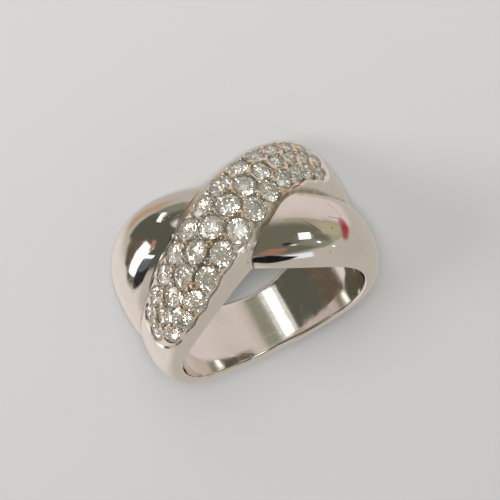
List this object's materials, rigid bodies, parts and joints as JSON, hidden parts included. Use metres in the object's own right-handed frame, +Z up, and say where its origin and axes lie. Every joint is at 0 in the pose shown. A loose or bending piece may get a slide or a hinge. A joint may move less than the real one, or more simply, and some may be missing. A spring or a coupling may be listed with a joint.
{
  "type": "crossover ring",
  "caption": "Finger ring whose wide stone-set band crosses over a plain domed band at the top, both running into one slim shank.",
  "frame": {"origin": "on the surface that the ring lies on, below the middle of its box; the ring lies on its far side, resting on the head's two bulges and the back of the shank", "axes": "+Z up from the surface, close to the finger hole's axis; -Y to the front, where the two bands cross; +X to the viewer's right"},
  "size_m": [0.0214, 0.0236, 0.0124],
  "materials": {
    "white_gold": "mirror polished",
    "diamond": "faceted and polished"
  },
  "bodies": {
    "root": {"ring_body": "white_gold", "stone_near_01": "diamond", "stone_near_02": "diamond", "stone_near_03": "diamond", "stone_near_04": "diamond", "stone_near_05": "diamond", "stone_near_06": "diamond", "stone_near_07": "diamond", "stone_near_08": "diamond", "stone_near_09": "diamond", "stone_near_10": "diamond", "stone_near_11": "diamond", "stone_near_12": "diamond", "stone_centre_01": "diamond", "stone_centre_02": "diamond", "stone_centre_03": "diamond", "stone_centre_04": "diamond", "stone_centre_05": "diamond", "stone_centre_06": "diamond", "stone_centre_07": "diamond", "stone_centre_08": "diamond", "stone_centre_09": "diamond", "stone_centre_10": "diamond", "stone_centre_11": "diamond", "stone_centre_12": "diamond", "stone_centre_13": "diamond", "stone_far_01": "diamond", "stone_far_02": "diamond", "stone_far_03": "diamond", "stone_far_04": "diamond", "stone_far_05": "diamond", "stone_far_06": "diamond", "stone_far_07": "diamond", "stone_far_08": "diamond", "stone_far_09": "diamond", "stone_far_10": "diamond", "stone_far_11": "diamond", "stone_far_12": "diamond"}
  },
  "joints": []
}
